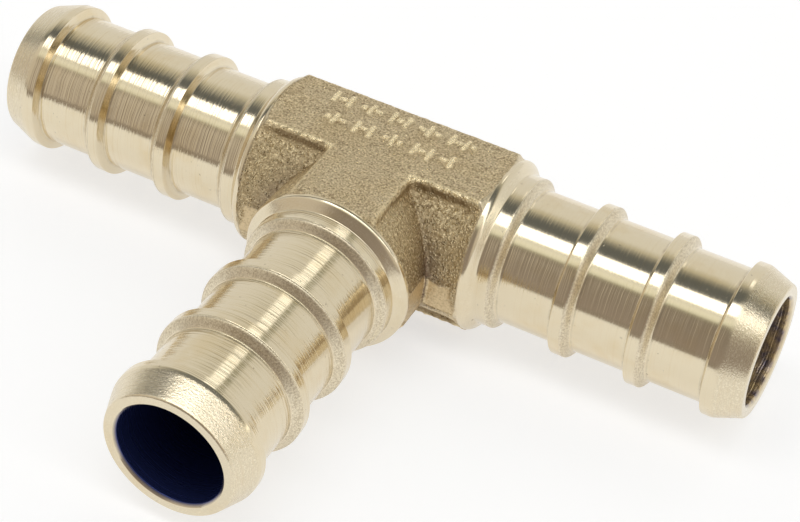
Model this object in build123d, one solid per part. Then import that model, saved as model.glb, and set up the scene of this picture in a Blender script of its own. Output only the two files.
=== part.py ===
from build123d import *
import math
import os

# Barbed brass tee for 3/8 in crimp or clamp tube.
# The origin is where the run axis and the branch axis cross. The run lies along X,
# the branch points along -Y and the flat pads face +Z and -Z. Sizes are in millimetres.

# Waterway
bore_radius = 3.145
mouth_chamfer = 0.18

# Turned spigot: walls and steps outside the bore, and lengths from the block face
spigot_length = 16.5
barrel_wall = 0.78
rib_height = 0.525
collar_height = 0.62
collar_length = 0.2
collar_slope_length = 0.48
stop_ring_length = 0.85
stop_ring_slope_length = 0.3
rib_rise_length = 0.2
rib_land_length = 0.74
rib_fall_length = 0.34
rib_pitch = 4.49
rib_count = 2
nose_land_length = 0.58
nose_cone_length = 1.62
nose_cone_drop = 0.6
crest_round = 0.09

# Forged body
block_half_length = 7.0
body_wall = 1.635
neck_root_drop = 0.33
neck_mouth_flare = 0.25
pad_rise = 0.02
pad_half_width = 2.6
pad_edge_round = 0.2

# Band where the flash of the forging dies was sheared off, a little below the axis
land_rise = 0.12
land_top = 0.4
land_bottom = -2.0

# Raised batch marks on the top pad, as (width, height) for each sign, in two rows
mark_sizes = {"|": (0.2, 1.1), "-": (0.34, 0.2), ".": (0.24, 0.24)}
mark_rows = ("|-| .|- |.| -|. |-|.", ".|- |-| .|. |-| -|")
mark_pitch = 0.46
mark_row_gap = 1.85
mark_rear_margin = 1.15
mark_rise = 0.1

# Radii that follow
barrel_radius = bore_radius + barrel_wall
rib_radius = barrel_radius + rib_height
collar_radius = rib_radius + collar_height
rim_radius = rib_radius - nose_cone_drop
body_radius = bore_radius + body_wall
neck_root_radius = body_radius - neck_root_drop
neck_mouth_radius = body_radius + neck_mouth_flare
pad_height = body_radius + pad_rise
land_reach = body_radius + land_rise


def spigot_outline():
    """Half section of a spigot as (radius, distance from the block face) points."""
    nose_start = spigot_length - nose_cone_length - nose_land_length - rib_rise_length
    outline = [(collar_radius, 0), (collar_radius, collar_length)]
    station = collar_length + collar_slope_length
    outline.append((rib_radius, station))
    station += stop_ring_length
    outline.append((rib_radius, station))
    station += stop_ring_slope_length
    outline.append((barrel_radius, station))
    for index in range(rib_count, 0, -1):
        station = nose_start - index * rib_pitch
        outline.append((barrel_radius, station))
        station += rib_rise_length
        outline.append((rib_radius, station))
        station += rib_land_length
        outline.append((rib_radius, station))
        station += rib_fall_length
        outline.append((barrel_radius, station))
    outline.append((barrel_radius, nose_start))
    outline.append((rib_radius, nose_start + rib_rise_length))
    outline.append((rib_radius, spigot_length - nose_cone_length))
    outline.append((rim_radius, spigot_length))
    outline.append((bore_radius + mouth_chamfer, spigot_length))
    outline.append((bore_radius, spigot_length - mouth_chamfer))
    outline.append((bore_radius, 0))
    return outline


def spigot():
    """One barbed spigot standing on the XY plane, with its tip at +Z."""
    section = make_face(Polyline([(r, 0, z) for r, z in spigot_outline()], close=True))
    crests = [v for v in section.vertices() if math.isclose(v.X, rib_radius, abs_tol=1e-6)]
    section = fillet(crests, crest_round)
    return revolve(section, Axis.Z)


def spigot_at(direction):
    """A spigot moved to the block face that looks along direction."""
    face = Plane(origin=Vector(*direction) * block_half_length, x_dir=(0, 0, 1), z_dir=direction)
    return face * spigot()


def block_box(x_min, x_max, y_min, y_max, z_min, z_max):
    """A box given by its limits along the three axes."""
    centre = ((x_min + x_max) / 2, (y_min + y_max) / 2, (z_min + z_max) / 2)
    return Pos(*centre) * Box(x_max - x_min, y_max - y_min, z_max - z_min)


def run_barrel():
    """Round body along the run with its sheared flash band."""
    barrel = Rot(0, 90, 0) * Cylinder(body_radius, 2 * block_half_length)
    band = block_box(
        -block_half_length, block_half_length, -land_reach, land_reach, land_bottom, land_top
    )
    return barrel + band


def branch_neck():
    """Neck that flares from the run to the branch face, sheared flat on both sides."""
    cone = Cone(neck_root_radius, neck_mouth_radius, block_half_length)
    cone = Pos(0, -block_half_length / 2, 0) * Rot(90, 0, 0) * cone
    band = block_box(-land_reach, land_reach, -block_half_length, 0, land_bottom, land_top)
    crown = pad_height - pad_edge_round / 2
    keep = block_box(-land_reach, land_reach, -block_half_length, 0, -crown, crown)
    return (cone + band) & keep


def tee_pads():
    """T-shaped block whose flat top and bottom are the two pads."""
    along_run = block_box(
        -block_half_length,
        block_half_length,
        -pad_half_width,
        pad_half_width,
        -pad_height,
        pad_height,
    )
    along_branch = block_box(
        -pad_half_width, pad_half_width, -block_half_length, 0, -pad_height, pad_height
    )
    pads = along_run + along_branch
    flats = pads.faces().filter_by(Axis.Z).edges()
    end_planes = (
        (Axis.X, block_half_length),
        (Axis.X, -block_half_length),
        (Axis.Y, -block_half_length),
    )
    for axis, place in end_planes:
        flats = flats - flats.filter_by_position(axis, place, place)
    return fillet(flats, pad_edge_round)


def waterways(bare):
    """The body with its run drilled through and its branch drilled to the run."""
    run_hole = Rot(0, 90, 0) * Cylinder(bore_radius, 2 * block_half_length)
    branch_hole = Cylinder(bore_radius, block_half_length)
    branch_hole = Pos(0, -block_half_length / 2, 0) * Rot(90, 0, 0) * branch_hole
    return bare - run_hole - branch_hole


def batch_marks():
    """Two rows of raised strokes, dashes and dots that stand in for a batch code."""
    marks = []
    row_y = pad_half_width - mark_rear_margin
    for row in mark_rows:
        mark_x = -(len(row) - 1) * mark_pitch / 2
        for sign in row:
            if sign in mark_sizes:
                width, height = mark_sizes[sign]
                marks.append(Pos(mark_x, row_y, pad_height) * Box(width, height, 2 * mark_rise))
            mark_x += mark_pitch
        row_y -= mark_row_gap
    return marks


def forged_body():
    """The forging between the three spigots."""
    solid = run_barrel() + branch_neck() + tee_pads()
    for mark in batch_marks():
        solid += mark
    return waterways(solid)


parts = {
    "forged_body": forged_body(),
    "left_run_barb": spigot_at((-1, 0, 0)),
    "right_run_barb": spigot_at((1, 0, 0)),
    "branch_barb": spigot_at((0, -1, 0)),
}

os.makedirs("parts", exist_ok=True)
for name, shape in parts.items():
    export_step(shape, f"parts/{name}.step")
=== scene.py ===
import math

import bpy
import numpy as np
from bpy.props import FloatProperty, FloatVectorProperty, IntProperty, PointerProperty, StringProperty
from mathutils import Matrix, Vector, noise


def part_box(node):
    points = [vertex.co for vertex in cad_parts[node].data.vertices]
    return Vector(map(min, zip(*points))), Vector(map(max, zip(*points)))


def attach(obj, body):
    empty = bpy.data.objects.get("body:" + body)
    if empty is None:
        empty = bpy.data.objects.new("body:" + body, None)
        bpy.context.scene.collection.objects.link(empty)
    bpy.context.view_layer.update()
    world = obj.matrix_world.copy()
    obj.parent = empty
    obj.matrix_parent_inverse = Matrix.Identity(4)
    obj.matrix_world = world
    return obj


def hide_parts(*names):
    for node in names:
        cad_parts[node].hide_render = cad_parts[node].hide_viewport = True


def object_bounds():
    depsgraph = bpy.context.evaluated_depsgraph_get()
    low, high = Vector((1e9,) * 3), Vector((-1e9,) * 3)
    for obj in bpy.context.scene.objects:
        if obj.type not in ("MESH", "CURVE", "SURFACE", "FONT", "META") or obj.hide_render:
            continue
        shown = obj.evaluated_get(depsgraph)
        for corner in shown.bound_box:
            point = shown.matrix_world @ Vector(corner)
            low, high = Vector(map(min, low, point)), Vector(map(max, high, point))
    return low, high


# Barbed brass tee for insert tube: a shot-blasted forging with three turned spigots.
# The run lies along X, the branch points along -Y and the marked pad faces +Z. Metres.

bl_info = {
    "name": "Barbed brass tee",
    "version": (1, 0, 0),
    "blender": (4, 5, 0),
    "location": "View3D > Sidebar > Barbed tee",
    "description": "Builds a forged and turned brass insert tee around its packed frame",
    "category": "Object",
}

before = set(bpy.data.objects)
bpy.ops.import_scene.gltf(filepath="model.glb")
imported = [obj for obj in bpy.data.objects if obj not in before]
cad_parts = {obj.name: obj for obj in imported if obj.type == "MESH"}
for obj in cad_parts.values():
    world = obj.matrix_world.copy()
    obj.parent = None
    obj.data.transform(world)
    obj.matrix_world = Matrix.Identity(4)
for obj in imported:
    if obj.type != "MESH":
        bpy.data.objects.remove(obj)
cad_box = [list(corner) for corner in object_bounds()]

MM = 0.001
SHARP_ANGLE = math.radians(62.0)
BODY = "root"
BLOCK_HALF_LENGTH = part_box("forged_body")[1].x
LAND_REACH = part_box("forged_body")[1].y
COLLAR_RADIUS = min(-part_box("right_run_barb")[0].z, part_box("right_run_barb")[1].z)
SPIGOT_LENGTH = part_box("right_run_barb")[1].x - BLOCK_HALF_LENGTH

# Closer than this to a spigot's face, or to a bore's wall, a point of the forging counts as on it
FACE_MARGIN = 0.03 * MM
BORE_MARGIN = 0.05 * MM

# Each spigot: its node, the way it points, the depth of its turning lines, how much painted light its
# bore gets against painted navy shade
SPIGOTS = {
    "right_run_spigot": ("right_run_barb", (1, 0, 0), 0.6, 1.0),
    "left_run_spigot": ("left_run_barb", (-1, 0, 0), 1.0, 0.6),
    "branch_spigot": ("branch_barb", (0, -1, 0), 0.9, 0.0),
}

# Half width and half height of each sign of the batch marks
MARK_SIGNS = {
    "|": (0.14 * MM, 0.52 * MM),
    "-": (0.23 * MM, 0.14 * MM),
    ".": (0.18 * MM, 0.18 * MM),
}


def size(name, millimetres, description):
    """A length that a user can change, given in millimetres and kept in metres."""
    return FloatProperty(
        name=name,
        description=description,
        default=millimetres * MM,
        subtype="DISTANCE",
        unit="LENGTH",
        precision=5,
    )


def share(name, value, description):
    """A plain number that a user can change."""
    return FloatProperty(name=name, description=description, default=value, precision=3)


def turn(name, degrees, description):
    """An angle that a user can change, given in degrees and kept in radians."""
    return FloatProperty(
        name=name,
        description=description,
        default=math.radians(degrees),
        subtype="ANGLE",
        unit="ROTATION",
    )


def tint(name, value, description):
    """A linear colour that a user can change."""
    return FloatVectorProperty(
        name=name, description=description, default=value, subtype="COLOR", min=0.0, max=1.0
    )


class SpigotSizes(bpy.types.PropertyGroup):
    """Sizes of one turned spigot. Lengths run from the block face to the tip."""

    bore_radius: size("Bore radius", 3.145, "Radius of the waterway")
    mouth_chamfer: size("Mouth chamfer", 0.18, "Chamfer inside the tip")
    barrel_wall: size("Barrel wall", 0.78, "Wall between the bore and the barrel")
    rib_height: size("Rib height", 0.525, "How far the ribs stand over the barrel")
    collar_length: size("Collar length", 0.24, "Straight length of the collar at the block")
    collar_slope: size("Collar slope", 0.46, "Length of the slope from the collar to the stop ring")
    ring_length: size("Stop ring length", 0.75, "Length of the stop ring")
    ring_slope: size("Stop ring slope", 0.5, "Length of the curve from the stop ring to the barrel")
    rib_rise: size("Rib rise", 0.2, "Length of the steep flank on a rib's block side")
    rib_land: size("Rib land", 0.66, "Length of a rib's top")
    rib_fall: size("Rib fall", 0.5, "Length of the curve on a rib's tip side")
    rib_pitch: size("Rib pitch", 4.49, "Distance from one rib to the next")
    rib_count: IntProperty(name="Ribs", description="Ribs behind the nose", default=2)
    nose_land: size("Nose land", 0.58, "Straight length behind the nose cone")
    nose_cone: size("Nose cone", 1.62, "Length of the nose cone")
    nose_drop: size("Nose drop", 0.6, "How much the cone narrows to the tip")
    collar_round: size("Collar edge", 0.4, "Radius of the collar's edge")
    sharp_round: size("Sharp edge", 0.05, "Radius of a cut edge")
    soft_round: size("Soft edge", 0.16, "Radius of a blasted edge")
    nose_round: size("Nose edge", 0.8, "Radius where the nose cone starts")
    profile_step: size("Profile step", 0.1, "Longest mesh step along the outside")
    bore_step: size("Bore step", 0.8, "Longest mesh step along the bore")
    sides: IntProperty(name="Sides", description="Mesh sides around a spigot", default=256)
    curve_steps: IntProperty(name="Curve steps", description="Mesh steps along a curve", default=8)
    frost_relief: size("Frost relief", 0.004, "Depth of the grain on blasted flanks and the nose")


class ForgingSizes(bpy.types.PropertyGroup):
    """Sizes of the forging between the spigots."""

    body_radius: size("Body radius", 4.78, "Radius of the run's round body")
    neck_root_radius: size("Neck root radius", 4.3, "Radius of the branch neck at the run axis")
    neck_flare: share("Neck flare", 0.15, "How much the neck's radius grows with its length")
    end_flare: size("End flare", 1.3, "Length over which the run's ends widen to the collar")
    end_lap: size("End lap", 0.04, "How far the forging's ends run into the spigots")
    trim_slope: share("Trim slope", 1.1, "Slope of the turned cone that trims the pads' corners")
    pad_height: size("Pad height", 4.8, "Height of the flat pads over the axes")
    pad_half_width: size("Pad half width", 2.6, "Half the width of the T-shaped pads")
    pad_edge: size("Pad edge", 0.34, "Blend over the pads' upper edge")
    pad_foot: size("Pad foot", 0.3, "Blend where a pad's wall meets the round body")
    pad_corner: size("Pad corner", 0.5, "Blend in the T's inner corners")
    crease: size("Crease", 0.22, "Blend in the crease between run and neck")
    land_top: size("Land top", 0.4, "Upper limit of the sheared flash band")
    land_bottom: size("Land bottom", -2.0, "Lower limit of the sheared flash band")
    land_wander: size("Land wander", 0.22, "How unevenly the upper edge of the band runs")
    cell: size("Mesh cell", 0.094, "Cell of the mesh")
    pocket_grit: size("Pocket grit", 0.045, "Relief of the coarse grit on the round body")
    pad_grit: size("Pad grit", 0.008, "Relief of the fine grit on the pads")
    edge_grit: size("Edge grit", 0.03, "Relief of the bruised pad edges")
    mark_rise: size("Mark rise", 0.11, "Height of the batch marks")
    mark_wander: size("Mark wander", 0.09, "How ragged the outlines of the batch marks are")
    hidden_share: share("Hidden share", 0.58, "Share of the mesh kept after hidden faces are thinned")
    mark_pitch: size("Mark pitch", 0.46, "Distance from one batch mark to the next")
    mark_row_gap: size("Mark row gap", 1.85, "Distance between the two rows of marks")
    mark_rear_margin: size("Mark margin", 1.15, "From the pad's rear edge to the first row's middle")
    first_row: StringProperty(
        name="First row", description="Strokes, dashes and dots", default="|-| .|- |.| -|. |-|."
    )
    second_row: StringProperty(
        name="Second row", description="Strokes, dashes and dots", default=".|- |-| .|. |-| -|"
    )


class Finish(bpy.types.PropertyGroup):
    """Colours of the two brass finishes, with the colours of painted shade and painted glints among
    them.
    """

    turned: tint("Turned brass", (0.76, 0.665, 0.485), "Bright turned brass")
    tarnish: tint("Tarnish", (0.70, 0.56, 0.33), "Faint yellow tarnish on turned faces")
    # Grime in pits; along the feet of the ribs the same colour is painted shade
    pit_dirt_and_foot_shade_colour: tint("Grime", (0.10, 0.065, 0.035), "Dirt in pits and at the feet of the ribs")
    bore: tint("Bore", (0.62, 0.48, 0.27), "Clean drilled wall")
    # Painted shade: near-black navy for the bores that get little painted light
    bore_painted_shade: tint("Dark bore", (0.03, 0.045, 0.17), "Stained drilled wall")
    frost_low: tint("Frost low", (0.40, 0.32, 0.21), "Hollows of the blasted grain on the spigots")
    frost_high: tint("Frost high", (0.90, 0.82, 0.64), "Tops of the blasted grain on the spigots")
    forged: tint("Forged brass", (0.63, 0.515, 0.33), "Shot-blasted brass")
    forged_dark: tint("Forged dark", (0.24, 0.165, 0.085), "Oxide left between the blast dents")
    # Gold tone of the coarse grit, also the colour of the painted glints
    forged_gold_and_glint: tint("Forged gold", (0.98, 0.83, 0.53), "Fresh metal on the high grains")
    forged_warm: tint("Forged warm", (0.60, 0.475, 0.285), "Warmer patches of the blasted brass")
    oxide: tint("Neck oxide", (0.42, 0.29, 0.145), "Brown film on the sides of the branch neck")
    # Painted shade in the crease between run and neck
    crease: tint("Crease", (0.17, 0.115, 0.10), "Dark film in the crease between run and neck")
    sheared: tint("Sheared band", (0.69, 0.55, 0.34), "Metal where the flash was sheared off")


class StageSizes(bpy.types.PropertyGroup):
    """Camera, floor and lights."""

    azimuth: turn("Azimuth", 24.347, "Camera direction about Z, from -Y towards +X")
    elevation: turn("Elevation", 41.442, "Camera height angle")
    roll: turn("Roll", 5.199, "Camera roll")
    distance: size("Distance", 132.66, "Camera distance from its aim")
    lens: share("Lens", 104.447, "Focal length in millimetres on a 36 mm sensor")
    floor_size: size("Floor size", 1600.0, "Side of the floor")
    floor_glow: share("Floor glow", 0.61, "Even light of the floor itself")
    softbox_power: share("Softbox power", 1.7, "Power of the overhead softbox in watts")
    front_edge: size("Front edge", 45.0, "From the axes to the dim card in front")
    softbox_distance: size("Softbox distance", 1030.0, "From the axes to the overhead softbox")
    softbox_width: size("Softbox width", 760.0, "Length of the softbox along the run")
    softbox_depth: size("Softbox depth", 310.0, "Length of the softbox across the run")


CAMERA_AIM = Vector((1.868, -1.560, -2.482)) * MM
SOFTBOX_TOWARD = (-0.13, -0.18, 1.0)


class Wire:
    """A shader socket as a value in an expression. Each operator adds its node."""

    def __init__(self, tree, socket=None):
        self.tree = tree
        self.socket = socket

    def node(self, kind, settings=None, inputs=None, output=0):
        """Adds one node: settings are set first, then the values or links of its sockets."""
        made = self.tree.nodes.new(kind)
        for name, value in (settings or {}).items():
            if name == "stops":
                fill_ramp(made.color_ramp, value)
            else:
                setattr(made, name, value)
        for name, value in (inputs or {}).items():
            if isinstance(value, Wire):
                self.tree.links.new(value.socket, made.inputs[name])
            else:
                made.inputs[name].default_value = value
        return Wire(self.tree, made.outputs[output])

    def math(self, operation, *others):
        """One maths node with this value first."""
        inputs = {place: other for place, other in enumerate((self, *others))}
        return self.node("ShaderNodeMath", {"operation": operation}, inputs)

    def __add__(self, other):
        return self.math("ADD", other)

    def __sub__(self, other):
        return self.math("SUBTRACT", other)

    def __mul__(self, other):
        return self.math("MULTIPLY", other)

    def __truediv__(self, other):
        return self.math("DIVIDE", other)

    def __rsub__(self, other):
        return self.node("ShaderNodeMath", {"operation": "SUBTRACT"}, {0: other, 1: self})

    __radd__ = __add__
    __rmul__ = __mul__

    def step(self, low, high, start=0.0, end=1.0):
        """A smooth step from start to end as the value goes from low to high."""
        return self.node(
            "ShaderNodeMapRange",
            {"interpolation_type": "SMOOTHSTEP"},
            {"Value": self, "From Min": low, "From Max": high, "To Min": start, "To Max": end},
        )

    def band(self, rise, fall):
        """1 between two soft edges and 0 outside, each edge given as (where it is 0, where it is 1)."""
        return self.step(*rise) * self.step(*fall)

    def mix(self, first, second):
        """Blends two colours with this value as the factor."""
        return self.node(
            "ShaderNodeMix",
            {"data_type": "RGBA", "clamp_factor": True},
            {0: self, 6: opaque(first), 7: opaque(second)},
            output=2,
        )

    def attribute(self, name):
        """A number that the mesh carries at its points."""
        return self.node("ShaderNodeAttribute", {"attribute_name": name}, output=2)

    def grain(self, place, scale, detail=2.0, roughness=0.5):
        """Fractal noise from 0 to 1 with the given number of grains in a millimetre."""
        return self.node(
            "ShaderNodeTexNoise",
            {"noise_dimensions": "3D"},
            {"Vector": place, "Scale": scale, "Detail": detail, "Roughness": roughness},
        )

    def lines(self, detail, roughness):
        """Fractal noise from 0 to 1 that varies with this value alone, as tool marks do."""
        return self.node(
            "ShaderNodeTexNoise",
            {"noise_dimensions": "1D"},
            {"W": self, "Scale": 1.0, "Detail": detail, "Roughness": roughness},
        )

    def bump(self, height):
        """The normal of a surface with the given relief in millimetres."""
        return self.node("ShaderNodeBump", None, {"Strength": 1.0, "Distance": MM, "Height": height})


def opaque(colour):
    """A colour with its alpha, or the wire as it is."""
    return colour if isinstance(colour, Wire) else (*colour[:3], 1.0)


def fill_ramp(ramp, stops):
    """Gives a colour ramp its (place, colour) stops."""
    while len(ramp.elements) < len(stops):
        ramp.elements.new(1.0)
    for element, (place, colour) in zip(ramp.elements, stops):
        element.position = place
        element.color = opaque(colour)


def new_material(name):
    """An empty node material, its output and a root wire."""
    material = bpy.data.materials.new(name)
    material.use_nodes = True
    tree = material.node_tree
    tree.nodes.clear()
    return material, Wire(tree), tree.nodes.new("ShaderNodeOutputMaterial")


def millimetre_place(root):
    """Object coordinates in millimetres."""
    place = root.node("ShaderNodeTexCoord", output=3)
    return root.node("ShaderNodeVectorMath", {"operation": "SCALE"}, {0: place, "Scale": 1 / MM})


def turned_brass_material(finish):
    """Bright turned brass with feed lines, blasted flanks, faint tarnish, grime in pits, painted shade
    at the rib feet, and painted light and shade in the bores.
    """
    material, root, output = new_material("turned_brass_finish")
    place = millimetre_place(root)
    station = root.attribute("station")
    frost = root.attribute("frost")
    foot = root.attribute("foot")
    inside = root.attribute("inside")
    line_depth = root.attribute("line_depth")
    bore_shine = root.attribute("bore_shine")

    # Tool marks that wander a little, then grains of several sizes
    wobble = root.grain(place, 0.9, 1.0)
    feed = (station * 8.0 + wobble * 0.8).lines(2.0, 0.6)
    scratch = (station * 2.6 + wobble * 0.5).lines(3.0, 0.7)
    grain = root.grain(place, 10.0, 2.0, 0.6)
    fine = root.grain(place, 21.0, 2.0)
    cloud = root.grain(place, 0.35, 3.0, 0.6)
    smear = root.grain(place, 1.3, 3.0, 0.6)
    speck = root.grain(place, 4.3, 2.0, 0.5)
    pit = speck.step(0.71, 0.75) * root.grain(place, 0.6, 1.0).step(0.45, 0.6)
    rough_patch = (frost + (grain - 0.5) * 0.9).step(0.25, 0.75)

    colour = cloud.step(0.48, 0.75, 0.0, 0.5).mix(finish.turned, finish.tarnish)
    worn = (feed * 0.6 + smear * 0.4).step(0.5, 0.7) * line_depth
    colour = (worn * 0.35).mix(colour, finish.tarnish)
    frosted = (grain * 0.6 + fine * 0.4).step(0.36, 0.62).mix(finish.frost_low, finish.frost_high)
    colour = (rough_patch * 0.6).mix(colour, frosted)
    # Grime in random pits, and painted shade in a line at the feet of the ribs
    pit_dirt_and_foot_shade = (pit * 0.5).math("MAXIMUM", foot * smear.step(0.35, 0.75, 0.05, 0.3))
    colour = pit_dirt_and_foot_shade.mix(colour, finish.pit_dirt_and_foot_shade_colour)
    # Bore wall: painted light or painted navy shade, by each spigot's share
    drilled = (bore_shine * smear.step(0.3, 0.65, 0.25, 1.0)).mix(finish.bore_painted_shade, finish.bore)
    colour = inside.mix(colour, drilled)

    roughness = 0.13 + frost * 0.26 + (feed - 0.5) * (line_depth * 0.16) + pit_dirt_and_foot_shade * 0.3
    roughness = roughness + inside * 0.12
    lines = (feed * 0.55 + scratch * 0.9) * line_depth * frost.step(0.3, 0.05)
    height = lines * 0.02 + rough_patch * frost * (grain * 0.012 + fine * 0.004) - pit * 0.004
    # The lit bores also get rings and smears in their relief
    height = height + (scratch * 0.03 + smear * 0.07) * (inside * bore_shine)
    shader = root.node(
        "ShaderNodeBsdfPrincipled",
        None,
        {
            "Base Color": colour,
            "Metallic": 1.0 - inside * 0.3,
            "Roughness": roughness,
            "Normal": root.bump(height),
        },
    )
    root.tree.links.new(shader.socket, output.inputs["Surface"])
    return material


def forged_brass_material(finish):
    """Shot-blasted brass: speckled pads, pockets with painted glints, painted shade on walls, crease
    and low parts, sheared bands and turned ends.
    """
    material, root, output = new_material("forged_brass_finish")
    place = millimetre_place(root)
    names = ("coarse", "edge", "sheared", "oxide", "wall", "inside", "turned")
    coarse, edge, sheared, oxide, wall, inside, turned = map(root.attribute, names)
    crease, low, mark, near_mark = map(root.attribute, ("crease", "low", "mark", "near_mark"))

    # Grains of the blasting, and a cell for each dent with its dome and its chance of a painted glint
    speckle = root.grain(place, 8.5, 3.0, 0.7)
    grit = root.grain(place, 4.6, 3.0, 0.6)
    fine = root.grain(place, 21.0, 2.0, 0.6)
    cloud = root.grain(place, 0.55, 4.0, 0.6)
    blotch = root.grain(place, 2.1, 2.0, 0.6)
    cells = {"Vector": place, "Scale": 6.0, "Randomness": 1.0}
    dome = root.node("ShaderNodeTexVoronoi", {"feature": "F1"}, cells)
    shades = root.node("ShaderNodeTexVoronoi", {"feature": "F1"}, cells, 1)
    chance = root.node("ShaderNodeSeparateColor", None, {0: shades})
    dome = dome.step(0.55, 0.05)
    rugged = coarse.math("MAXIMUM", edge * 0.5).math("MAXIMUM", mark * 0.3)
    # Painted glints: rare shining cells everywhere, and sparkles on the rugged grit
    glint = chance.step(0.84, 0.95) * dome.step(0.3, 0.65)
    sparkle = chance.step(0.3, 0.6) * dome.step(0.25, 0.75) * rugged

    # Base metal, the oxide film and painted shade on the walls, then dark dents, blotches and grain
    # hollows, with painted shade lower down
    colour = cloud.step(0.35, 0.68).mix(finish.forged, finish.forged_warm)
    colour = (oxide * 0.4).mix(colour, finish.oxide)
    colour = (coarse * (1.0 - oxide) * 0.85 + oxide * coarse * 0.5).mix(colour, finish.forged_gold_and_glint)
    # Painted shade on the walls under the pads
    colour = (wall * 0.7).mix(colour, finish.forged_dark)
    dents = speckle.step(0.5, 0.36, 0.0, 0.75) * (1.0 - coarse * 0.65)
    dents = dents * (1.0 - mark.math("MAXIMUM", edge) * 0.8)
    colour = dents.mix(colour, finish.forged_dark)
    colour = blotch.step(0.44, 0.3, 0.0, 0.5).mix(colour, finish.forged_dark)
    # Dark hollows between the grains, and painted shade lower down on the body, most on the neck
    grain_hollow_and_low_shade = (coarse * dome.step(0.5, 0.1) * 0.5).math("MAXIMUM", low * low * (0.6 + oxide * 0.6))
    colour = grain_hollow_and_low_shade.mix(colour, finish.forged_dark)

    # Bright high grains, then painted glints on the grit, on the marks and on the bruised pad edges,
    # dimmed on the walls and lower down by painted shade
    bright_grain_and_painted_glint = (speckle.step(0.52, 0.62) * 0.6).math("MAXIMUM", glint)
    bright_grain_and_painted_glint = bright_grain_and_painted_glint.math("MAXIMUM", sparkle * (1.0 - oxide * 0.4) * (1.0 - low * 0.3))
    painted_mark_glint = (mark * 1.8) * grit.step(0.33, 0.47, 0.35, 1.0)
    bright_grain_and_painted_glint = bright_grain_and_painted_glint.math("MAXIMUM", painted_mark_glint).math("MINIMUM", 1.0)
    bright_grain_and_painted_glint = bright_grain_and_painted_glint.math("MAXIMUM", (edge * 1.6).math("MINIMUM", 1.0) * grit.step(0.4, 0.52))
    bright_grain_and_painted_glint = bright_grain_and_painted_glint * (1.0 - wall * 0.85)
    colour = bright_grain_and_painted_glint.mix(colour, finish.forged_gold_and_glint)

    # Darker round the marks, painted shade in the crease, then the zones that a tool has cut
    colour = (near_mark * (1.0 - mark) * 0.35).mix(colour, finish.forged_dark)
    colour = (crease * (0.7 + (grit - 0.5) * 0.9)).mix(colour, finish.crease)
    colour = (sheared * speckle.step(0.3, 0.6, 0.5, 0.9)).mix(colour, finish.sheared)
    bare = (turned + (grit - 0.5) * 0.6).step(0.55, 0.85)
    colour = (bare * 0.65).mix(colour, finish.turned)
    colour = inside.mix(colour, finish.bore)

    roughness = 0.44 - bright_grain_and_painted_glint * 0.24 + rugged * 0.04 + (speckle - 0.5) * 0.2
    roughness = roughness * (1.0 - bare) + bare * 0.32
    relief = speckle * (0.08 - rugged * 0.035) + fine * 0.012 + rugged * (grit * 0.07)
    relief = relief + dome * (chance * (rugged * 0.13 + 0.035))
    height = relief * (1.0 - sheared * 0.72) * (1.0 - bare) * (1.0 - inside)
    shader = root.node(
        "ShaderNodeBsdfPrincipled",
        None,
        {
            "Base Color": colour,
            "Metallic": 1.0,
            "Roughness": roughness,
            "Normal": root.bump(height),
        },
    )
    root.tree.links.new(shader.socket, output.inputs["Surface"])
    return material


def add_mesh(name, points, faces, attributes, material):
    """Makes a smooth-shaded mesh object with the given numbers at its points."""
    mesh = bpy.data.meshes.new(name)
    mesh.from_pydata(points.tolist(), [], faces)
    mesh.polygons.foreach_set("use_smooth", np.ones(len(mesh.polygons), bool))
    for label, values in attributes.items():
        stored = mesh.attributes.new(label, "FLOAT", "POINT")
        stored.data.foreach_set("value", np.asarray(values, np.float32))
    mesh.materials.append(material)
    mesh.validate()
    mesh.update()
    mesh.set_sharp_from_angle(angle=SHARP_ANGLE)
    piece = bpy.data.objects.new(name, mesh)
    bpy.context.scene.collection.objects.link(piece)
    return piece


def sample_noise(points, grains, seed):
    """Noise from about -1 to 1 at each point, with the given number of grains in a millimetre."""
    shift = Vector((seed * 7.3, seed * 3.1, seed * 5.7))
    scaled = points * (grains / MM)
    return np.array([noise.noise(Vector(point) + shift) for point in scaled.tolist()])


# --- Turned spigots -----------------------------------------------------------------------


def easing_curve(start, length, high, low, frost, s):
    """Outline rows of a soft step down from one radius to another, with painted shade at its foot."""
    foot_start = 0.9
    rows = []
    for index in range(s.curve_steps + 1):
        t = index / s.curve_steps
        eased = t * t * (3 - 2 * t)
        radius = high + (low - high) * eased
        rows.append((start + length * t, radius, 0.0, frost * (1.0 - eased**4), float(t > foot_start)))
    return rows


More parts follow.
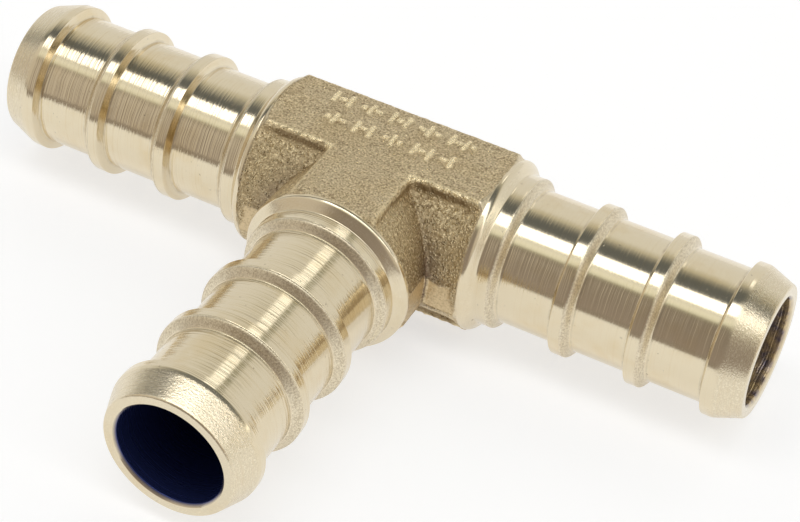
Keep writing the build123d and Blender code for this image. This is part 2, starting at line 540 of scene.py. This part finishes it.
def spigot_outline(s):
    """Half section as (station, radius, edge radius, frost of the stretch that follows, foot), where
    foot marks the painted shade at the feet of the ribs.
    """
    barrel = s.bore_radius + s.barrel_wall
    rib = barrel + s.rib_height
    tip = SPIGOT_LENGTH
    nose = tip - s.nose_cone - s.nose_land - s.rib_rise
    ring = s.collar_length + s.collar_slope
    outline = [
        (0.0, COLLAR_RADIUS, 0.0, 0.0, 0.0),
        (s.collar_length, COLLAR_RADIUS, s.collar_round, 0.35, 0.0),
        (ring, rib, s.soft_round, 0.0, 0.0),
    ]
    outline += easing_curve(ring + s.ring_length, s.ring_slope, rib, barrel, 0.9, s)
    for index in range(s.rib_count, 0, -1):
        start = nose - index * s.rib_pitch
        land = start + s.rib_rise
        outline.append((start, barrel, s.sharp_round, 0.0, 1.0))
        outline.append((land, rib, s.sharp_round, 0.0, 0.0))
        outline += easing_curve(land + s.rib_land, s.rib_fall, rib, barrel, 1.0, s)
    outline += [
        (nose, barrel, s.sharp_round, 0.0, 1.0),
        (nose + s.rib_rise, rib, s.sharp_round, 0.0, 0.0),
        (tip - s.nose_cone, rib, s.nose_round, 0.5, 0.0),
        (tip, rib - s.nose_drop, s.soft_round, 0.4, 0.0),
        (tip, s.bore_radius + s.mouth_chamfer, s.sharp_round, 0.0, 0.0),
        (tip - s.mouth_chamfer, s.bore_radius, s.sharp_round, 0.0, 0.0),
        (0.0, s.bore_radius, 0.0, 0.0, 0.0),
    ]
    return outline


def round_corner(before, corner, after, radius, steps=5):
    """Points of the curve that rounds one corner of an outline, within the stretches beside it."""
    back = (before - corner).normalized()
    ahead = (after - corner).normalized()
    half_turn = (math.pi - back.angle(ahead)) / 2
    room = min((before - corner).length * 0.8, (after - corner).length / 2)
    reach = min(radius * math.tan(half_turn), room)
    start = corner + back * reach
    end = corner + ahead * reach
    curve = []
    for index in range(steps + 1):
        t = index / steps
        curve.append(start * (1 - t) ** 2 + corner * (2 * t * (1 - t)) + end * t**2)
    return curve


def spigot_profile(s):
    """Fine outline of a spigot: rows of station, radius, frost, foot (painted shade) and inside."""
    outline = spigot_outline(s)
    places = [Vector(row[:2]) for row in outline]
    barrel = s.bore_radius + s.barrel_wall
    rows = []
    for index, (_, radius, edge, frost, foot) in enumerate(outline):
        corner = places[index]
        if edge > 0.0:
            curve = round_corner(places[index - 1], corner, places[index + 1], edge)
        else:
            curve = [corner]
        earlier_frost = outline[index - 1][3]
        for step, point in enumerate(curve):
            blend = (step + 1) / (len(curve) + 1)
            value = earlier_frost * (1 - blend) + frost * blend
            rows.append((*point, value, foot))
        if index + 1 == len(outline):
            break
        following = outline[index + 1]
        target = places[index + 1]
        if following[2] > 0.0:
            target = round_corner(corner, target, places[index + 2], following[2])[0]
        is_bore = radius < barrel - s.barrel_wall / 2 and following[1] <= radius
        longest = s.bore_step if is_bore else s.profile_step
        start = curve[-1]
        count = max(1, math.ceil((target - start).length / longest))
        for part in range(1, count):
            rows.append((*start.lerp(target, part / count), frost, 0.0))
    rows = np.array(rows)
    inside = (rows[:, 1] < s.bore_radius + 0.02 * MM).astype(float)
    return np.column_stack([rows, inside])


def revolve_profile(rows, sides, direction):
    """Turns the outline about its axis and lays the axis along direction."""
    angles = np.arange(sides) * (2 * math.pi / sides)
    along = np.array(direction, float)
    across = np.array((0.0, 0.0, 1.0))
    third = np.cross(along, across)
    ring = np.outer(np.cos(angles), across) + np.outer(np.sin(angles), third)
    stations = rows[:, 0] + BLOCK_HALF_LENGTH
    points = stations[:, None, None] * along + rows[:, 1][:, None, None] * ring[None]
    count = len(rows)
    index = np.arange(count * sides).reshape(count, sides)
    next_row = np.roll(index, -1, axis=0)
    quads = np.stack(
        [index, np.roll(index, -1, axis=1), np.roll(next_row, -1, axis=1), next_row], axis=-1
    )
    outward = np.broadcast_to(ring[None], points.shape)
    return points.reshape(-1, 3), quads.reshape(-1, 4), outward.reshape(-1, 3)


def build_spigot(name, node, direction, traits, sizes, material):
    """One turned spigot as a closed lathe mesh with a grain on its blasted stretches."""
    rows = spigot_profile(sizes)
    points, quads, outward = revolve_profile(rows, sizes.sides, direction)
    station, _, frost, foot, inside = (np.repeat(column, sizes.sides) for column in rows.T)
    relief = np.zeros(len(points))
    blasted = frost > 0.05
    rough = sample_noise(points[blasted], grains=4.5, seed=1.0)
    rough = rough + 0.6 * sample_noise(points[blasted], grains=9.0, seed=2.0)
    relief[blasted] = (rough - 1.0) * frost[blasted] * sizes.frost_relief / 2
    points = points + outward * relief[:, None]
    attributes = {
        "station": station / MM,
        "frost": frost,
        "foot": foot,
        "inside": inside,
    }
    for label, value in traits.items():
        attributes[label] = np.full(len(points), value)
    piece = add_mesh(name, points, quads.tolist(), attributes, material)
    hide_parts(node)
    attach(piece, BODY)
    return piece


# --- Forging --------------------------------------------------------------------------------

# Blends of the neck's outer edge, and of the sheared band's lower edge, upper edge and foot
NECK_ROUND = 0.3 * MM
LAND_CORNER = 0.5 * MM
LAND_EDGE = 0.2 * MM
LAND_FOOT = 0.16 * MM

# Softness of the batch marks' flanks, and how far the darkening reaches round them
MARK_EDGE = 0.06 * MM
MARK_HALO = 0.25 * MM


def soft_union(first, second, blend):
    """Union of two distances with a fillet about as wide as blend."""
    overlap = np.maximum(blend - np.abs(first - second), 0.0) / blend
    return np.minimum(first, second) - overlap * overlap * blend / 4


def soft_cut(first, second, blend):
    """Intersection of two distances with its edge rounded over blend."""
    return -soft_union(-first, -second, blend)


def land_line(along, s):
    """Uneven height of the sheared band's upper edge."""
    wave = np.sin(along / MM * 1.7 + 0.6) * 0.5 + np.sin(along / MM * 4.1) * 0.3
    return s.land_top + s.land_wander * wave


def trim_distance(x, y, z, s):
    """Distance to the turned cones that trim the three ends of the forging."""
    run = np.hypot(y, z) - COLLAR_RADIUS - s.trim_slope * (BLOCK_HALF_LENGTH - np.abs(x))
    branch = np.hypot(x, z) - COLLAR_RADIUS - s.trim_slope * (BLOCK_HALF_LENGTH + y)
    return np.maximum(run, branch) / math.hypot(1.0, s.trim_slope)


def forging_distance(points, s, bore):
    """Signed distance to the forging's skin, without its grit."""
    x, y, z = points.T
    half = BLOCK_HALF_LENGTH
    near_end = np.clip(1.0 - (half - np.abs(x)) / s.end_flare, 0.0, 1.0)
    run = np.hypot(y, z) - s.body_radius - (COLLAR_RADIUS - s.body_radius) * near_end**2
    neck_axis = np.hypot(x, z)
    neck = neck_axis - (s.neck_root_radius - y * s.neck_flare)
    neck = soft_cut(neck, neck_axis - COLLAR_RADIUS, NECK_ROUND)
    neck = np.maximum(neck, y)
    neck = np.maximum(neck, np.abs(z) - s.pad_height + s.pad_edge / 4)
    skin = soft_union(run, neck, s.crease)

    for outer, along in ((np.abs(y), x), (np.where(y < 0, np.abs(x), half), y)):
        band = soft_cut(outer - LAND_REACH, s.land_bottom - z, LAND_CORNER)
        band = soft_cut(band, z - land_line(along, s), LAND_EDGE)
        reach = np.abs(y) - LAND_REACH if along is x else y
        skin = soft_union(skin, np.maximum(band, reach), LAND_FOOT)

    arm = np.maximum(np.abs(x) - s.pad_half_width, y)
    tee = soft_union(np.abs(y) - s.pad_half_width, arm, s.pad_corner)
    pads = soft_cut(tee, np.abs(z) - s.pad_height, s.pad_edge)
    skin = soft_union(skin, pads, s.pad_foot)

    skin = np.maximum(skin, trim_distance(x, y, z, s))
    skin = np.maximum(skin, np.maximum(np.abs(x), -y) - half - s.end_lap)
    bore = bore + s.end_lap / 4
    run_bore = np.hypot(y, z) - bore
    branch_bore = np.maximum(np.hypot(x, z) - bore, y)
    return np.maximum(skin, -np.minimum(run_bore, branch_bore))


def surface_net(distance, low, high, cell):
    """Closed quad mesh on the zero level of a distance, with one point in each cell it crosses."""
    # Distance at the corners of the cells, one layer across the run at a time
    axes = [np.arange(a - 1.5 * cell, b + 1.5 * cell, cell) for a, b in zip(low, high)]
    shape = tuple(len(axis) for axis in axes)
    field = np.empty(shape, np.float32)
    ys, zs = np.meshgrid(axes[1], axes[2], indexing="ij")
    for index, x in enumerate(axes[0]):
        layer = np.column_stack([np.full(ys.size, x), ys.ravel(), zs.ravel()])
        field[index] = distance(layer).reshape(ys.shape)
    solid = field < 0
    corners = [(i, j, k) for i in (0, 1) for j in (0, 1) for k in (0, 1)]

    def shifted(array, corner):
        return array[tuple(slice(c, n - 1 + c) for c, n in zip(corner, shape))]

    # The cells that the skin crosses, and their numbers
    filled = sum(shifted(solid, corner).astype(np.int8) for corner in corners)
    crossed = (filled > 0) & (filled < 8)
    cells = np.argwhere(crossed)
    number = np.full(crossed.shape, -1)
    number[crossed] = np.arange(len(cells))

    # A cell's point is the mean of the places where the skin crosses the cell's edges
    total = np.zeros((len(cells), 3))
    weight = np.zeros(len(cells))
    for start in corners:
        for axis in range(3):
            if start[axis]:
                continue
            end = tuple(1 if place == axis else value for place, value in enumerate(start))
            first = field[tuple((cells + start).T)].astype(float)
            second = field[tuple((cells + end).T)].astype(float)
            changes = (first < 0) != (second < 0)
            share_along = np.where(changes, first / np.where(changes, first - second, 1.0), 0.0)
            spot = np.array(start, float)[None].repeat(len(cells), axis=0)
            spot[:, axis] = share_along
            total += spot * changes[:, None]
            weight += changes
    origin = np.array([axis[0] for axis in axes])
    points = origin + (cells + total / weight[:, None]) * cell

    # Each grid edge that the skin crosses joins the points of the four cells round it
    quads = []
    for axis in range(3):
        u = np.eye(3, dtype=int)[(axis + 1) % 3]
        v = np.eye(3, dtype=int)[(axis + 2) % 3]
        lower = np.take(solid, range(shape[axis] - 1), axis)
        upper = np.take(solid, range(1, shape[axis]), axis)
        edges = np.argwhere(lower != upper)
        leaving = lower[tuple(edges.T)]
        ring = np.stack([number[tuple((edges - a).T)] for a in (u + v, v, 0 * u, u)], axis=1)
        quads.append(np.where(leaving[:, None], ring, ring[:, ::-1]))
    return points, np.concatenate(quads)


def slope_of(distance, points, reach):
    """Unit normals of a distance at the points."""
    slope = np.empty_like(points)
    for axis in range(3):
        step = np.zeros(3)
        step[axis] = reach
        slope[:, axis] = distance(points + step) - distance(points - step)
    return slope / np.maximum(np.linalg.norm(slope, axis=1, keepdims=True), 1e-12)


def near(value, width):
    """1 at zero, falling evenly to 0 at width."""
    return np.clip(1.0 - np.abs(value) / width, 0.0, 1.0)


def batch_mark_height(x, y, soft, s):
    """Share of the full mark height at each point of the pad, for two rows of raised signs."""
    height = np.zeros(len(x))
    row_y = s.pad_half_width - s.mark_rear_margin
    for row in (s.first_row, s.second_row):
        mark_x = -(len(row) - 1) * s.mark_pitch / 2
        for sign in row:
            if sign in MARK_SIGNS:
                half_width, half_height = MARK_SIGNS[sign]
                outside = np.maximum(np.abs(x - mark_x) - half_width, np.abs(y - row_y) - half_height)
                height = np.maximum(height, np.clip(0.5 - outside / soft / 2, 0.0, 1.0))
            mark_x += s.mark_pitch
        row_y -= s.mark_row_gap
    return height


def forging_zones(points, normals, s, bore):
    """Shares from 0 to 1 that say which finish each point of the forging has."""
    x, y, z = points.T
    in_run = np.hypot(y, z) < bore + BORE_MARGIN
    in_branch = (np.hypot(x, z) < bore + BORE_MARGIN) & (y < 0)
    inside = (in_run | in_branch).astype(float)
    far_out = np.maximum(np.abs(x), -y)
    at_end = far_out > BLOCK_HALF_LENGTH - FACE_MARGIN
    bare = (1.0 - inside) * (1.0 - at_end)

    # The pads, their bruised upper edges, where painted highlights go, and the walls under them, where
    # painted shade goes
    pad = np.clip((np.abs(z) - s.pad_height + 0.06 * MM) / (0.05 * MM), 0.0, 1.0)
    rim = np.minimum(np.abs(y) - s.pad_half_width, np.maximum(np.abs(x) - s.pad_half_width, y))
    edge = near(rim + 0.08 * MM, 0.22 * MM) * (np.abs(z) > s.pad_height - 0.3 * MM)
    on_branch = y < -s.pad_half_width
    # Painted highlight: full on the run pad's front edges, about half on the branch arm's edges, faint
    # on the rear edges
    edge *= np.where(y > 0, 0.1, np.where(y < -s.pad_half_width - 0.4 * MM, 0.45, 1.0))
    side = np.maximum(np.abs(normals[:, 0]), np.abs(normals[:, 1]))
    upright = np.clip((side - 0.9) / 0.08, 0.0, 1.0)
    below_pad = (np.abs(z) < s.pad_height - 0.12 * MM) & (np.abs(z) > s.pad_height - 1.5 * MM)
    wall = upright * below_pad * (np.abs(rim) < 0.25 * MM) * bare
    # Painted shade, darker on walls facing along Y than on the neck's walls, and weaker near the ends
    wall *= 0.55 + 0.45 * np.abs(normals[:, 1])
    wall *= np.clip((BLOCK_HALF_LENGTH - far_out) / MM - 0.2, 0.35, 1.0)

    # The bands where the flash was sheared off, and the film on the neck's sides
    in_band = z < land_line(np.where(np.abs(y) > LAND_REACH - 0.1 * MM, x, y), s) + 0.02 * MM
    in_band &= z > s.land_bottom - 0.1 * MM
    sheared = np.clip((side - 0.985) / 0.012, 0.0, 1.0) * in_band
    on_neck = np.clip(np.abs(normals[:, 0]) * 1.5 - 0.3, 0.0, 1.0) * on_branch

    # Coarse grit on the round body, how low it lies, for painted shade lower down, and the crease
    # beside the neck, where painted shade goes
    coarse = (1.0 - pad) * (1.0 - sheared) * bare
    low = np.clip((s.pad_height - np.abs(z)) / s.pad_height, 0.0, 1.0)
    gap = np.hypot(y, z) - s.body_radius - np.hypot(x, z) + s.neck_root_radius - y * s.neck_flare
    # Painted shade in the crease between run and neck, strongest lower down
    crease = near(gap, 1.5 * MM) * low * (y < 0) * coarse
    coarse *= 1.0 - 0.6 * near(rim, 0.35 * MM) * (y > 0)

    # The ends that the spigots' turning has cut, which shows least on the branch
    turned = np.clip((trim_distance(x, y, z, s) + 0.16 * MM) / (0.14 * MM), 0.0, 1.0)
    turned *= np.where(-y > np.abs(x), 0.25, 1.0)
    cut_face = at_end & (y > s.pad_half_width - BLOCK_HALF_LENGTH)
    return {
        "coarse": coarse * (1.0 - 0.55 * on_neck),
        "edge": edge * bare,
        "sheared": sheared * bare,
        "oxide": on_neck * bare * (1.0 - pad),
        "inside": inside,
        "turned": np.maximum(turned, cut_face) * (1.0 - inside),
        "crease": crease,
        "low": low * coarse,
        "pad": pad * bare * (1.0 - turned),
        "wall": wall,
    }


def thin_hidden_faces(piece, hidden, ratio):
    """Collapses the mesh where nobody sees it, in the bores and on the covered faces."""
    group = piece.vertex_groups.new(name="hidden")
    group.add(np.flatnonzero(hidden).tolist(), 1.0, "REPLACE")
    modifier = piece.modifiers.new("thin", "DECIMATE")
    modifier.ratio = ratio
    modifier.vertex_group = group.name
    modifier.vertex_group_factor = 10.0
    bpy.context.view_layer.objects.active = piece
    with bpy.context.temp_override(object=piece, active_object=piece):
        bpy.ops.object.modifier_apply(modifier=modifier.name)
    piece.vertex_groups.clear()


def forging_relief(points, zones, s):
    """Height of the grit, the bruised edges and the batch marks at each point."""
    skin = zones["inside"] < 0.5
    coarse_grain = np.zeros(len(points))
    fine_grain = np.zeros(len(points))
    coarse_grain[skin] = sample_noise(points[skin], grains=3.3, seed=3.0)
    coarse_grain[skin] += 0.5 * sample_noise(points[skin], grains=6.1, seed=4.0)
    fine_grain[skin] = sample_noise(points[skin], grains=5.4, seed=5.0)
    relief = coarse_grain * zones["coarse"] * s.pocket_grit
    relief += fine_grain * zones["pad"] * s.pad_grit
    relief += (coarse_grain - 1 / 3) * zones["edge"] * s.edge_grit
    return relief + zones["mark"] * (s.mark_rise + fine_grain * s.edge_grit)


def build_forging(s, bore, material):
    """The forging as one fine closed mesh with its grit, bruised edges and batch marks."""

    def distance(points):
        return forging_distance(points, s, bore)

    low, high = (Vector(corner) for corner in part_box("forged_body"))
    low.z = -COLLAR_RADIUS
    high.y = high.z = COLLAR_RADIUS
    points, quads = surface_net(distance, low, high, s.cell)
    for _ in range(2):
        normals = slope_of(distance, points, reach=0.02 * MM)
        points = points - normals * distance(points)[:, None]
    normals = slope_of(distance, points, reach=0.05 * MM)

    zones = forging_zones(points, normals, s, bore)
    for label in ("coarse", "edge"):
        zones[label] = zones[label] * (1.0 - zones["turned"])
    x, y, z = points.T
    on_top = zones["pad"] * (z > 0)
    wander = sample_noise(points, grains=2.6, seed=6.0) * on_top * s.mark_wander
    zones["mark"] = batch_mark_height(x + wander, y - wander, MARK_EDGE, s) * on_top
    zones["near_mark"] = batch_mark_height(x, y, MARK_HALO, s) * on_top
    points = points + normals * forging_relief(points, zones, s)[:, None]

    piece = add_mesh("forged_body_skin", points, quads.tolist(), zones, material)
    far_out = np.maximum(np.abs(points[:, 0]), -points[:, 1])
    hidden = (zones["inside"] > 0.5) | (far_out > BLOCK_HALF_LENGTH - FACE_MARGIN)
    thin_hidden_faces(piece, hidden, s.hidden_share)
    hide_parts("forged_body")
    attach(piece, BODY)
    return piece


# --- Stage ----------------------------------------------------------------------------------

FLOOR_GREY = (0.5, 0.5, 0.5, 1.0)
FLOOR_TINT = (0.97, 0.98, 1.0, 1.0)
CARD_BROWN = (0.32, 0.28, 0.245, 1.0)
CARD_LIFT = 0.05 * MM
SENSOR_WIDTH = 36.0

# Light of the room by the angle about the run: 0 looks down in front, 0.5 up and 1 down behind
ROOM_LIGHT = [
    (0.0, (0.9, 0.9, 0.9)),
    (0.215, (0.85, 0.84, 0.80)),
    (0.245, (0.34, 0.29, 0.26)),
    (0.385, (0.28, 0.245, 0.215)),
    (0.398, (0.36, 0.34, 0.27)),
    (0.408, (0.98, 0.98, 0.84)),
    (0.426, (1.0, 1.0, 0.92)),
    (0.445, (0.72, 0.71, 0.65)),
    (0.46, (0.9, 0.9, 0.9)),
    (0.492, (0.9, 0.9, 0.9)),
    (0.503, (0.12, 0.13, 0.14)),
    (0.552, (0.15, 0.16, 0.16)),
    (0.573, (0.34, 0.33, 0.29)),
    (0.592, (0.64, 0.61, 0.50)),
    (0.62, (0.84, 0.83, 0.80)),
    (0.80, (0.86, 0.86, 0.86)),
    (0.93, (0.5, 0.5, 0.5)),
]


def level_sheet(name, x_reach, y_min, y_max, level, material):
    """A flat rectangle of the stage, centred on the branch axis."""
    plan = [(-x_reach, y_min), (x_reach, y_min), (x_reach, y_max), (-x_reach, y_max)]
    corners = [(x, y, level) for x, y in plan]
    return add_mesh(name, np.array(corners), [(0, 1, 2, 3)], {}, material)


def build_floor(stage):
    """A pale floor that the collars rest on."""
    half = stage.floor_size / 2
    material, root, output = new_material("pale_floor")
    shader = root.node(
        "ShaderNodeBsdfPrincipled",
        None,
        {
            "Base Color": FLOOR_GREY,
            "Roughness": 0.9,
            "Specular IOR Level": 0.0,
            "Emission Color": FLOOR_TINT,
            "Emission Strength": stage.floor_glow,
        },
    )
    root.tree.links.new(shader.socket, output.inputs["Surface"])
    floor = level_sheet("floor", half, -half, half, cad_box[0][2], material)


def build_front_card(stage):
    """A dim card in front of the pale floor, seen only in reflections."""
    half = stage.floor_size / 2
    material, root, output = new_material("dim_card")
    shader = root.node("ShaderNodeEmission", None, {"Color": CARD_BROWN, "Strength": 1.0})
    root.tree.links.new(shader.socket, output.inputs["Surface"])
    level = cad_box[0][2] + CARD_LIFT
    card = level_sheet("front_card", half, -half, -stage.front_edge, level, material)
    card.visible_camera = False
    card.visible_diffuse = False
    card.visible_shadow = False


def build_world():
    """A pale studio: bright behind, a dim opening in front and a dim gap overhead."""
    world = bpy.data.worlds.new("studio")
    bpy.context.scene.world = world
    world.use_nodes = True
    tree = world.node_tree
    tree.nodes.clear()
    root = Wire(tree)
    direction = root.node("ShaderNodeTexCoord", output=0)
    split = root.node("ShaderNodeSeparateXYZ", None, {0: direction})
    x, y, z = (Wire(tree, split.socket.node.outputs[place]) for place in range(3))
    around = y.math("ARCTAN2", z) / (2 * math.pi) + 0.5
    room = root.node("ShaderNodeValToRGB", {"stops": ROOM_LIGHT}, {"Fac": around})

    # Beyond the ends of the opening in front, the room is lit evenly
    side = x.math("ARCTAN2", 0 - y)
    open_front = side.band((-0.62, -0.22), (1.1, 0.5))
    beside = (1.0 - open_front) * z.step(0.8, 0.6) * (0 - y).step(-0.1, 0.3) * z.step(-0.3, 0.0)
    colour = (beside * 0.85).mix(room, (0.74, 0.68, 0.60))

    # Seen overhead: x and y as they cross a level ceiling
    height = z.math("MAXIMUM", 0.15)
    across = x / height
    behind = y / height
    high_up = z.step(0.3, 0.5)
    over_left = across.step(-0.32, -0.5) * behind.band((0.25, 0.4), (0.8, 0.7)) * high_up
    colour = (over_left * 0.4).mix(colour, (0.75, 0.73, 0.65))
    run_glow = across.step(0.15, 0.3) * (0.0 - behind).band((0.0, 0.03), (0.38, 0.33))
    colour = run_glow.mix(colour, (2.2, 2.2, 2.2))

    # A window low on the right
    side_glow = z.band((0.14, 0.17), (0.26, 0.235)) * x.step(0.88, 0.92) * y.step(0.06, 0.1)
    colour = side_glow.mix(colour, (2.0, 2.0, 1.9))

    # Overhead and behind, a bright strip with a dark gap on its right
    rear = behind.band((0.6, 0.72), (1.15, 1.0)) * high_up
    dark_gap = across.band((0.27, 0.32), (0.6, 0.42)) * rear
    colour = dark_gap.mix(colour, (0.36, 0.36, 0.28))
    strip = across.band((-0.07, -0.02), (0.31, 0.26)) * rear
    colour = strip.mix(colour, (1.65, 1.65, 1.6))
    background = root.node("ShaderNodeBackground", None, {"Color": colour, "Strength": 1.0})
    output = tree.nodes.new("ShaderNodeOutputWorld")
    tree.links.new(background.socket, output.inputs["Surface"])


def add_softbox(stage):
    """A rectangular area light overhead that looks at the origin, its long side along the run."""
    light = bpy.data.lights.new("overhead_softbox", "AREA")
    light.shape = "RECTANGLE"
    light.size = stage.softbox_width
    light.size_y = stage.softbox_depth
    light.energy = stage.softbox_power
    lamp = bpy.data.objects.new("overhead_softbox", light)
    away = Vector(SOFTBOX_TOWARD).normalized()
    across = Vector((1.0, 0.0, 0.0))
    across = (across - away * across.dot(away)).normalized()
    turned = Matrix((across, away.cross(across), away)).transposed().to_4x4()
    lamp.matrix_world = Matrix.Translation(away * stage.softbox_distance) @ turned
    bpy.context.scene.collection.objects.link(lamp)


def build_camera(stage):
    """The camera, from its angles, roll and distance."""
    flat = math.cos(stage.elevation)
    back = Vector(
        (math.sin(stage.azimuth) * flat, -math.cos(stage.azimuth) * flat, math.sin(stage.elevation))
    )
    level = Vector((math.cos(stage.azimuth), math.sin(stage.azimuth), 0.0))
    rise = back.cross(level)
    right = level * math.cos(stage.roll) + rise * math.sin(stage.roll)
    up = back.cross(right)
    data = bpy.data.cameras.new("camera")
    data.sensor_width = SENSOR_WIDTH
    data.lens = stage.lens
    data.clip_start = 1.0 * MM
    data.clip_end = 5.0
    camera = bpy.data.objects.new("camera", data)
    turned = Matrix((right, up, back)).transposed().to_4x4()
    camera.matrix_world = Matrix.Translation(CAMERA_AIM + back * stage.distance) @ turned
    bpy.context.scene.collection.objects.link(camera)
    bpy.context.scene.camera = camera


# --- Add-on ---------------------------------------------------------------------------------


class TEE_OT_spigots(bpy.types.Operator):
    """Build the three turned spigots"""

    bl_idname = "tee.spigots"
    bl_label = "Turned spigots"

    def execute(self, context):
        material = turned_brass_material(context.scene.tee_finish)
        for name, (node, direction, line_depth, bore_shine) in SPIGOTS.items():
            traits = {"line_depth": line_depth, "bore_shine": bore_shine}
            build_spigot(name, node, direction, traits, context.scene.tee_spigot, material)
        return {"FINISHED"}


class TEE_OT_forging(bpy.types.Operator):
    """Build the forging between the spigots"""

    bl_idname = "tee.forging"
    bl_label = "Forging"

    def execute(self, context):
        scene = context.scene
        material = forged_brass_material(scene.tee_finish)
        build_forging(scene.tee_forging, scene.tee_spigot.bore_radius, material)
        return {"FINISHED"}


class TEE_OT_stage(bpy.types.Operator):
    """Build the floor, the studio light and the camera"""

    bl_idname = "tee.stage"
    bl_label = "Stage"

    def execute(self, context):
        stage = context.scene.tee_stage
        build_floor(stage)
        build_world()
        build_front_card(stage)
        add_softbox(stage)
        build_camera(stage)
        context.scene.view_settings.view_transform = "Standard"
        return {"FINISHED"}


class TEE_PT_panel(bpy.types.Panel):
    """Sizes, finishes and build steps of the tee"""

    bl_idname = "TEE_PT_panel"
    bl_label = "Barbed tee"
    bl_space_type = "VIEW_3D"
    bl_region_type = "UI"
    bl_category = "Barbed tee"

    def draw(self, context):
        for operator in OPERATORS:
            self.layout.operator(operator.bl_idname)
        for label in GROUPS:
            box = self.layout.box()
            group = getattr(context.scene, label)
            for prop in type(group).__annotations__:
                box.prop(group, prop)


OPERATORS = (TEE_OT_spigots, TEE_OT_forging, TEE_OT_stage)
GROUPS = {
    "tee_spigot": SpigotSizes,
    "tee_forging": ForgingSizes,
    "tee_finish": Finish,
    "tee_stage": StageSizes,
}


def register():
    for group in GROUPS.values():
        bpy.utils.register_class(group)
    for entry in (*OPERATORS, TEE_PT_panel):
        bpy.utils.register_class(entry)
    for label, group in GROUPS.items():
        setattr(bpy.types.Scene, label, PointerProperty(type=group))


def unregister():
    for label in GROUPS:
        delattr(bpy.types.Scene, label)
    for entry in (TEE_PT_panel, *OPERATORS, *GROUPS.values()):
        bpy.utils.unregister_class(entry)


def main():
    """Builds everything."""
    register()
    bpy.ops.tee.spigots()
    bpy.ops.tee.forging()
    bpy.ops.tee.stage()


if __name__ == "__main__":
    main()
